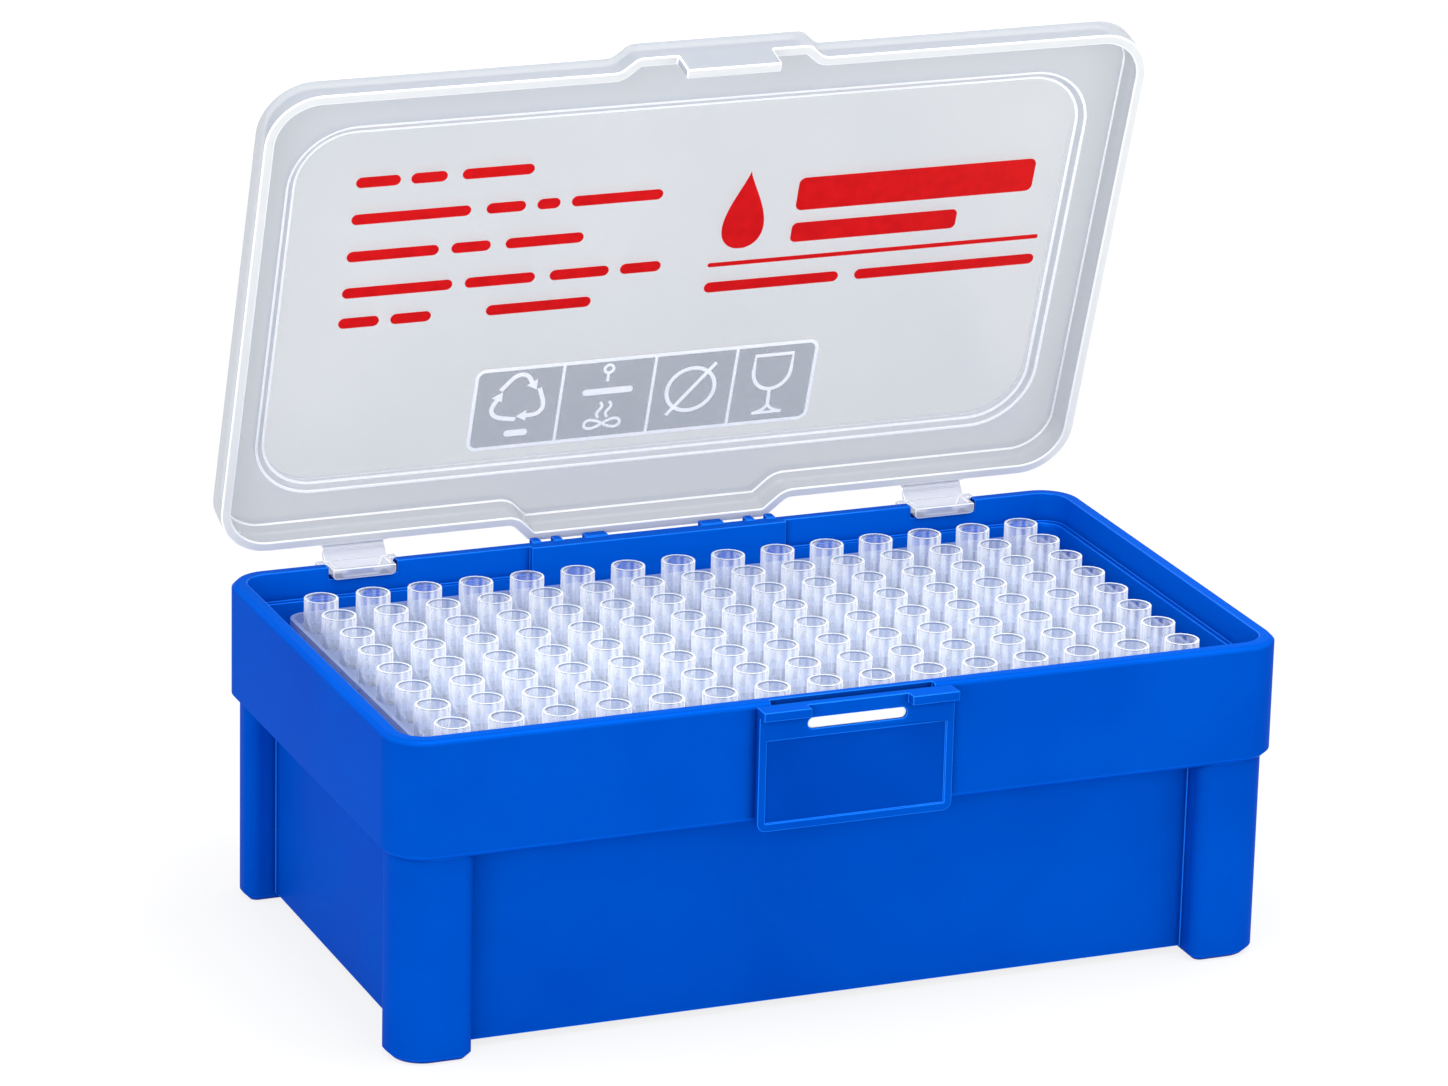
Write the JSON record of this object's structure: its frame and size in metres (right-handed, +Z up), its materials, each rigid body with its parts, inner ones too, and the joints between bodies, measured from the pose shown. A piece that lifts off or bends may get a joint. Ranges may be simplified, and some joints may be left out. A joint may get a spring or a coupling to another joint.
{
  "type": "box of pipette tips",
  "caption": "Rectangular rack box on corner posts with a see-through lid on living hinges, a front catch plate and rows of pipette tips standing in a deck.",
  "frame": {"origin": "middle of the plane that the feet stand on, below the middle of the box", "axes": "+X along the box's length, +Y to the hinge side, +Z up"},
  "size_m": [0.1538, 0.0977, 0.1453],
  "materials": {
    "box_plastic": "satin moulded polypropylene, blue",
    "deck_plastic": "natural translucent polypropylene",
    "lid_plastic": "clear frosted polypropylene",
    "tip_plastic": "natural translucent polypropylene"
  },
  "bodies": {
    "base": {"box_base": "box_plastic", "catch_plate": "box_plastic", "tip_tray": "deck_plastic", "hinge_clip_left": "lid_plastic", "hinge_clip_right": "lid_plastic", "tips_row_a": "tip_plastic", "tips_row_b": "tip_plastic", "tips_row_c": "tip_plastic", "tips_row_d": "tip_plastic", "tips_row_e": "tip_plastic", "tips_row_f": "tip_plastic", "tips_row_g": "tip_plastic", "tips_row_h": "tip_plastic"},
    "lid": {"lid": "lid_plastic"}
  },
  "joints": [
    {"name": "lid_hinge", "type": "hinge", "parent": "base", "child": "lid", "pos_m": [0, 0.046, 0.056], "axis": [1, 0, 0], "range_deg": [-30, 72]}
  ]
}
